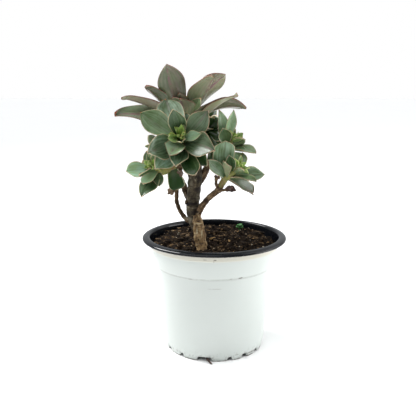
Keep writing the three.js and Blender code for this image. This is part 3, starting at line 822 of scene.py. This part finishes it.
def weed_material():
    n = paint("weed_leaf")
    blotch = n.noise(500, 3)
    colour = n.blend(n.channels("look")[0], (0.02, 0.085, 0.018), (0.06, 0.26, 0.045))
    colour = n.blend(n.times(blotch, 0.5), colour, (0.03, 0.14, 0.025))
    n.bump(blotch, 0.3, 0.0003)
    return n.finish(colour, n.line(blotch, 0.2, 0.4))


# Pot

POT_OUTSIDE = [
    (FOOT_RADIUS, 0), (45.2, 4.2), (45.7, 7), (47.2, 20), (48.8, 33), (50.5, 51), (51.1, 67),
    (51.8, 75.5), (52, 77.4), (52.5, 77.9), (53.2, 78.2), (53.5, 79.2), (55.2, 84.5), (57, 90), (57.7, 93.4),
    (57.9, 94.5), (58.3, 94.9), (58.6, 95.4), (58.6, 99.2), (59.2, 100.2),
]
RIM_LIP = [
    (62.5, 100.25), (64.1, 100.2), (64.8, 100.5), (RIM_RADIUS, 101), (64.85, 101.7), (64.3, 102.3),
    (63.4, 102.75), (62.2, 103.05), (60.8, 103.25), (59.8, POT_HEIGHT), (59, 103.15), (58.3, 102.6),
    (57.9, 101.5), (57.6, 100.2),
]
WIDE_NOTCHES = (-11, 109, 229)
# Each notch is [turn from the wide one, mean width, height]
NOTCH_PATTERN = [(0, 12.4, 3.8), (29, 4.4, 3.3), (48, 5.8, 3.8), (68, 5.2, 3.7), (91, 4.4, 3.3)]
DRAIN_HOLES = 6
DRAIN_RADIUS = 4.0
DRAIN_CIRCLE = 28.0
# The plate in the middle of the floor, and the height up to which the foot ring can be notched
PLATE_RADIUS = 30.0
RING_TOP = 4.3


def wall_radius(z):
    radii, heights = zip(*POT_OUTSIDE)
    return float(np.interp(z, heights, radii)) - WALL


def notch_height(angle):
    """How far the foot ring is cut away at this angle from the front, in millimetres."""
    slope = 0.9
    for wide in WIDE_NOTCHES:
        for turn, width, height in NOTCH_PATTERN:
            off = (angle - wide - turn + 180) % 360 - 180
            past = radians(abs(off)) * FOOT_RADIUS - width / 2
            if past < slope:
                return height * min(1.0, (slope - past) / (2 * slope))
    return 0.0


def pot_section():
    """The wall's section from the foot up the outside, over the lip, down the inside and under."""
    inside = [(wall_radius(z), z) for z in (97, 93, 88, 78.4, 67, 51, 33, 15, FLOOR_TOP + 1.2)]
    inside += [(wall_radius(FLOOR_TOP) - 1.0, FLOOR_TOP), (PLATE_RADIUS, FLOOR_TOP)]
    under = [(PLATE_RADIUS, FLOOR_UNDER)]
    under += [(FOOT_RADIUS - back, z) for back, z in ((2.6, FLOOR_UNDER), (2.2, 3.0), (2.0, 0))]
    return POT_OUTSIDE + RIM_LIP + inside + under


def build_pot(white, black):
    sides = 720
    section = pot_section()
    points = []
    for r, z in section:
        in_ring = z < RING_TOP and r > FOOT_RADIUS - 3
        for j in range(sides):
            angle = 360 * j / sides
            turn = radians(angle)
            height = max(z, notch_height(angle)) if in_ring else z
            points.append((r * sin(turn), -r * cos(turn), height))
    last = (len(section) - 1) * sides
    faces = grid_faces(len(section), sides)
    faces += [(last + j, last + (j + 1) % sides, (j + 1) % sides, j) for j in range(sides)]
    shell = Shape()
    shell.add(points, faces)
    polygons = shell.build("pot_shell", "pot", "pot_plastic", white, black).data.polygons
    # The wall is white outside and black from the lip down the inside; under the floor and on the foot ring's
    # inner face the black is painted shade, seen in the notches
    band = np.arange(len(polygons)) // sides
    is_black = (band >= len(POT_OUTSIDE) - 1) & (band < len(section) - 1)
    polygons.foreach_set("material_index", is_black.astype(np.int32))
    # The floor plate is black; its underside, seen through the notches, is painted shade
    floor_disc().build("pot_floor", "pot", "pot_plastic", black)


def floor_disc():
    """A plate with drain holes: each hole is bridged to its sixth of the plate by one fan of quads."""
    steps, sides = 24, 48
    inner, outer = DRAIN_CIRCLE - 7.0, PLATE_RADIUS + 4.0
    disc = Shape()
    for i in range(DRAIN_HOLES):
        middle = radians(i * 60 + 18)
        centre = DRAIN_CIRCLE * np.array([cos(middle), sin(middle)])
        hole = circle(DRAIN_RADIUS, steps, centre)
        limit = [sector_limit(centre, far, middle, inner, outer) for far in circle(20, steps, centre)]
        for z, flip in ((FLOOR_TOP, True), (FLOOR_UNDER, False)):
            disc.add(level(hole, z) + level(limit, z), grid_faces(2, steps, flip=flip))
        disc.add(level(hole, FLOOR_UNDER) + level(hole, FLOOR_TOP), grid_faces(2, steps, flip=True))
    for z, order in ((FLOOR_TOP, 1), (FLOOR_UNDER, -1)):
        disc.add(level(circle(inner, sides), z), [tuple(range(sides))[::order]])
    return disc


def sector_limit(centre, far, middle, inner, outer):
    """Where the way from a hole's centre leaves its sixth of the plate."""
    low, high = 0.0, 1.0
    for _ in range(24):
        t = (low + high) / 2
        p = centre + (far - centre) * t
        r = hypot(*p)
        off = (atan2(p[1], p[0]) - middle + pi) % (2 * pi) - pi
        inside = inner < r < outer and abs(off) < pi / DRAIN_HOLES
        low, high = (t, high) if inside else (low, t)
    return centre + (far - centre) * low


# Soil

SOIL_EDGE = wall_radius(90) - GAP
# The stem's place in the soil and its radius there, and the seedling's place
STEM_HOLE = (-11.3, -17.2, 6.6)
SPROUT = (24.2, 38)
# Scale and seed of the largest clods, and the depth from which loose bits stay out of their hollows
CLODS = (6.5, 21)
HOLLOW = -0.12


def soil_height(x, y):
    mound = 2.6 * exp(-((x + 8) ** 2) / 900 - ((y - 30) ** 2) / 700)
    waves = 0.8 * sin(x * 0.31 + 1.3) * cos(y * 0.27) + 0.6 * sin(x * 0.13 - y * 0.19 + 2)
    return SOIL_LEVEL + 1.8 * (y / SOIL_EDGE) + mound + waves


def crumbly(x, y):
    """Height of the crumbly surface above the smooth soil, in millimetres."""
    p = (x, y, 0)
    clods = 3.0 * bumps(p, *CLODS) + 1.8 * bumps(p, 2.6, 5) + 0.6 * bumps(p, 1.2, 9)
    edge = smooth(SOIL_EDGE - 1, SOIL_EDGE - 7, hypot(x, y))
    return clods * float(edge)


def build_soil(peat, bits):
    rows, sides = 64, 220
    points = []
    for i in range(rows):
        r = SOIL_EDGE * (1 - 0.999 * i / (rows - 1))
        drop = 2.2 * float(smooth(SOIL_EDGE - 3, SOIL_EDGE, r))
        points += [(x, y, soil_height(x, y) + crumbly(x, y) - drop) for x, y in circle(r, sides)]
    levels = (90, 78.5, 77, 67, 33, FLOOR_TOP + GAP)
    wall = [point for z in levels for point in level(circle(wall_radius(z) - GAP, sides), z)]
    wall_faces = grid_faces(len(levels), sides, flip=True)
    wall_faces.append(tuple(range(len(wall) - sides, len(wall))))
    body = Shape()
    body.add(points, grid_faces(rows, sides))
    body.add(wall, wall_faces)
    body.add(points[:sides] + wall[:sides], grid_faces(2, sides, flip=True))
    body.build("soil_body", "soil", "potting_mix", peat)
    build_bits(bits)


def lump(size, stretch, seed, rings=4, sides=7):
    """A small rough lump as points and faces about the origin."""
    ball = [(0, 0, -1)]
    for i in range(1, rings):
        polar = pi * i / rings
        for j, (x, y) in enumerate(circle(sin(polar), sides)):
            rough = 1 + 0.3 * jitter(seed, i * sides + j)
            ball.append((x * rough, y * rough, -cos(polar) * rough))
    ball.append((0, 0, 1))
    last = len(ball) - 1
    top = last - sides
    faces = [(0, 1 + (j + 1) % sides, 1 + j) for j in range(sides)]
    faces += grid_faces(rings - 1, sides, start=1)
    faces += [(top + j, top + (j + 1) % sides, last) for j in range(sides)]
    return np.array(ball) * stretch * size, faces


def turned(points, spin, tilt):
    """Points tilted about X and then spun about Z."""
    c, s = cos(tilt), sin(tilt)
    points = points @ np.array([[1, 0, 0], [0, c, s], [0, -s, c]])
    c, s = cos(spin), sin(spin)
    return points @ np.array([[c, s, 0], [-s, c, 0], [0, 0, 1]])


# Kinds of loose bits: [name, how many, size, stretch, look range, sunk share]
BIT_KINDS = [
    ("soil_crumbs", 1500, (0.5, 1.5), (1.1, 1, 0.8), (0, 0.25), 0.2),
    ("bark_bits", 560, (0.6, 2.1), (1.9, 0.8, 0.5), (0.15, 0.62), 0.15),
    ("pale_grains", 260, (0.25, 0.85), (1.1, 1, 0.9), (0.74, 1), 0.1),
    ("fibres", 160, (0.22, 0.34), (16, 1, 1), (0.3, 0.6), -0.8),
]


def build_bits(material):
    for which, (name, count, size, stretch, look, sunk) in enumerate(BIT_KINDS):
        bits = Shape()
        seed = 200 + 17 * which
        for i in range(count):
            radius = (SOIL_EDGE - 2.0) * sqrt((i + 0.5) / count)
            angle = i * radians(GOLDEN_ANGLE) + jitter(seed, i)
            x, y = radius * cos(angle), radius * sin(angle)
            in_hollow = bumps((x, y, 0), *CLODS) < HOLLOW and name != "fibres"
            if in_hollow or hypot(x - STEM_HOLE[0], y - STEM_HOLE[1]) < STEM_HOLE[2]:
                continue
            scale = mix(size, draw(seed + 1, i) ** 2)
            points, faces = lump(scale, stretch, seed + i)
            points = turned(points, 3.2 * jitter(seed + 2, i), 0.7 * jitter(seed + 3, i))
            ground = soil_height(x, y) + crumbly(x, y)
            points = points + (x, y, ground - sunk * scale)
            tone = mix(look, draw(seed + 4, i))
            bits.add(points, faces, look=(tone, draw(seed + 5, i), 0, 1))
        bits.build(name, "soil", "potting_mix", material, smooth_faces=False)


def build_root(material):
    """A dead root that comes down a drain hole and out of the wide notch at the front."""
    stations = [
        [-5.8, -27.4, 7, 0.9], [-5.8, -28.4, 3.4, 0.8], [-6.1, -33, 1.6, 0.75], [-6.4, -39.5, 1.8, 0.75],
        [-6.2, -42.8, 2.6, 0.75], [-4.9, -45.8, 1.9, 0.8], [-3.1, -48.4, 1, 0.75], [-1.7, -50, 0.7, 0.5],
    ]
    root = Shape()
    limb(root, stations, 0.3, 10, lambda point, *_: 0.12 * bumps(point, 1.2))
    root.build("dead_root", "soil", "potting_mix", material)


def build_seedling(material):
    x, y = SPROUT
    ground = soil_height(x, y)
    weed = Shape()
    stalk = [[x, y, ground - 3, 0.7], [x, y, ground, 0.7], [x + 0.5, y - 0.5, ground + 5, 0.5]]
    limb(weed, stalk, 0.5, 10, lambda *_: 0.0, look=(0.6, 0, 0, 1))
    for i in range(9):
        spin = radians(i * GOLDEN_ANGLE + 20)
        radial = np.array([cos(spin), sin(spin), 0])
        root = np.array([x + 0.3, y - 0.3, ground + 1.2 + i * 0.42])
        blade(weed, root, np.array([0, 0, 1]), radial, 4.6 - 0.12 * i, 3.4, 30, 300 + i, lean=62, cup=0.3,
              age=0.5, tone=0.35 + 0.5 * abs(jitter(61, i)))
    weed.build("weed", "seedling", "weed_green", material)


# Woody stems

# Stations of the stems: [x, y, z, radius]
LOWER_STEM = [
    [-10.7, -26, 70, 5.5], [-10.9, -21.5, 82, 5.4], [-11.3, -17, 95.5, 5.4], [-12.5, -14, 104, 5.3],
    [-13.8, -11, 112, 4.9], [-14.6, -8.6, 118, 4.5], [-15.4, -6.4, 122, 3.4],
]
UPPER_STEM = [
    [-16.5, -6, 108, 3.2], [-17.6, -4, 114, 4.8], [-18.6, -1.5, 121, 5.9], [-19.2, 0, 132, 5.9],
    [-18.2, 0, 144, 5.9], [-17, 0.5, 156, 6.4], [-18, 3, 167, 6.2],
]
BRANCHES = {
    "front": [[-17, 0, 158, 4.5]],
    "right_low": [[-15, -4, 122, 3], [-10.5, -6, 131, 2.8], [-5, -6.5, 138, 2.6]],
    "left_low": [
        [-15, -6, 115, 2.6], [-20, -3, 115.5, 2.5], [-24.5, -0.5, 117, 2.2], [-28, 1, 120.5, 2],
        [-31.5, 2, 126, 1.9], [-33.8, 3, 133, 1.9], [-33.8, 3, 141, 1.9], [-33.6, 2.4, 152, 1.9],
    ],
    "left_back": [
        [-20, 1.5, 129, 3.4], [-23.5, 4.5, 137, 3.2], [-27.5, 7, 146, 3], [-31.5, 10.5, 154, 2.6],
        [-36.4, 14, 162, 2.3],
    ],
    "right_mid": [[-16, 2, 148, 3.4], [-10, 3, 156.5, 3.2]],
    "back": [[-17, 3, 158, 3.4], [-14, 12, 168, 3.2]],
}
KNOBS = [
    [[-20, -1, 132.5, 2.6], [-26, -1.5, 133.3, 1.9]],
    [[3.4, -6, 145, 1.4], [1.6, -7.4, 151, 1.3], [1.9, -7.8, 157, 1.5]],
    [[3.6, -7, 143.8, 1.3], [8.5, -10.4, 146, 1.1], [13.5, -9.5, 146.3, 1.1]],
]
# Dead leaf bits: [start, end, width, bend, paleness]
DRY_LEAVES = [
    ((8, -10.6, 146), (15.5, -11, 149), 5, 50, 0.05),
    ((10.5, -9.6, 147.2), (18.8, -9.4, 145.8), 5.4, -40, 0),
    ((13, -9.6, 147.6), (15, -10.6, 149.6), 3.2, 30, 0.1),
    ((1.9, -7.8, 156), (5.6, -8.2, 157.6), 2.6, 40, 0.35),
    ((2, -7.6, 156), (0.6, -8.4, 158.8), 2.2, 30, 0.3),
    ((-34.4, 2.5, 146), (-41.8, -0.5, 140.5), 6.5, 30, 0.95),
    ((-34, -3, 161.6), (-27.6, -9.6, 159.6), 5, -30, 0.3),
    ((-35.2, 1.2, 161.6), (-38.6, -1.2, 162), 3.2, 30, 0.2),
]


def bark_relief(point, along, _):
    scars = 0.22 * sin(along * 0.9 + 2.5 * bumps(point, 9, 4))
    return scars + 0.55 * bumps(point, 5, 1) + 0.25 * bumps(point, 1.6, 2)


def thin_relief(point, along, _):
    return 0.14 * sin(along * 1.3) + 0.22 * bumps(point, 3, 1)


def add_wood(name, stations, material, pitch=0.7, sides=40, relief=bark_relief):
    wood = Shape()
    limb(wood, stations, pitch, sides, relief)
    wood.build(name, "trunk", "bark", material)


def build_trunk(tan, dark, brown, dry):
    top = stem_start(ROSETTES["top"])
    add_wood("stem_lower", LOWER_STEM, tan)
    add_wood("stem_upper", UPPER_STEM + [top(-4), top(0)], dark)
    for name, stations in BRANCHES.items():
        at = stem_start(ROSETTES[name])
        bark = dark if name in ("front", "back") else brown
        add_wood("branch_" + name, stations + [at(-4), at(0)], bark, 0.6, 28, thin_relief)
    for i, stations in enumerate(KNOBS):
        add_wood(f"knob_{i + 1}", stations, brown, 0.4, 18, thin_relief)
    bits = Shape()
    for i, (start, end, width, bend, pale) in enumerate(DRY_LEAVES):
        stray_leaf(bits, start, end, width=width, bend=bend, seed=90 + i, tone=pale, crumple=1.1)
    bits.build("dry_leaves", "trunk", "bark", dry)


# Stage


def build_camera():
    camera = put("camera", bpy.data.cameras.new("camera"))
    camera.data.lens = CAMERA_LENS
    camera.data.clip_start = 0.01
    camera.location = (AXIS[0], AXIS[1] - CAMERA_BACK * MM, CAMERA_HEIGHT * MM)
    camera.rotation_euler = (radians(90 - CAMERA_DOWN), 0, radians(CAMERA_TURN))
    bpy.context.scene.camera = camera


def build_floor():
    mesh = bpy.data.meshes.new("floor")
    reach = 6.0
    corners = [(-reach, -reach, 0), (reach, -reach, 0), (reach, reach, 0), (-reach, reach, 0)]
    mesh.from_pydata(corners, [], [(0, 1, 2, 3)])
    sheet = put("floor", mesh)
    n = paint("floor_paint")
    soft = n.noise(3, 2)
    mesh.materials.append(n.finish(n.blend(soft, (0.95, 0.95, 0.95), (0.97, 0.97, 0.97)), 0.9))


def add_light(kind, name, place, power, **settings):
    """A soft light that faces the plant."""
    light = bpy.data.lights.new(name, kind)
    light.energy = power
    for key, value in settings.items():
        setattr(light, key, value)
    lamp = put(name, light)
    lamp.location = place
    aim = Vector(LIGHT_TARGET) - Vector(place)
    lamp.rotation_euler = aim.to_track_quat("-Z", "Y").to_euler()


def build_room():
    """Soft light from all round, dimmer on the viewer's side, with a white backdrop for the camera."""
    world = bpy.data.worlds.new("studio")
    bpy.context.scene.world = world
    n = Nodes(world)
    depth = n.split(n.add("ShaderNodeTexCoord").outputs["Generated"])[1]
    strength = n.line(n.step(depth, -0.9, 0.3), 0.46, 0.14)
    room = n.add("ShaderNodeBackground", (0.95, 0.98, 1), strength).outputs[0]
    backdrop = n.add("ShaderNodeBackground", (1, 1, 1), 1.0).outputs[0]
    seen = n.add("ShaderNodeLightPath").outputs["Is Camera Ray"]
    switch = n.add("ShaderNodeMixShader", seen, room, backdrop)
    n.set(n.tree.nodes["World Output"], "Surface", switch.outputs[0])


def build_lights():
    soft = radians(60)
    add_light("SUN", "key_sun", (-0.32, -0.4, 0.96), 1.55, angle=soft)
    add_light("SUN", "side_sun", (0.75, 0.2, 0.73), 1.0, angle=soft)
    add_light("AREA", "softbox_left", (-0.55, 0.29, 0.80), 12.0, shape="RECTANGLE", size=0.40, size_y=0.45)
    add_light("AREA", "softbox_right", (0.6, -0.1, 0.12), 2.4, size=0.35)
    bpy.context.scene.view_settings.view_transform = "Standard"


build_camera()
build_floor()
build_room()
build_lights()
build_pot(white_plastic(), black_plastic())
build_soil(soil_material(), bits_material())
build_seedling(weed_material())
dry_tissue = dry_material()
build_root(dry_tissue)
build_trunk(
    bark_material("bark_tan", (0.085, 0.044, 0.015), (0.34, 0.225, 0.105), (0.58, 0.49, 0.31)),
    bark_material("bark_dark", (0.018, 0.013, 0.008), (0.1, 0.078, 0.046), (0.24, 0.212, 0.15)),
    bark_material("bark_brown", (0.03, 0.016, 0.008), (0.21, 0.135, 0.072), (0.43, 0.35, 0.24)),
    dry_tissue,
)
green_stem = stem_material()
foliage = leaf_material()
for name in ROSETTES:
    build_rosette(name, foliage, green_stem)
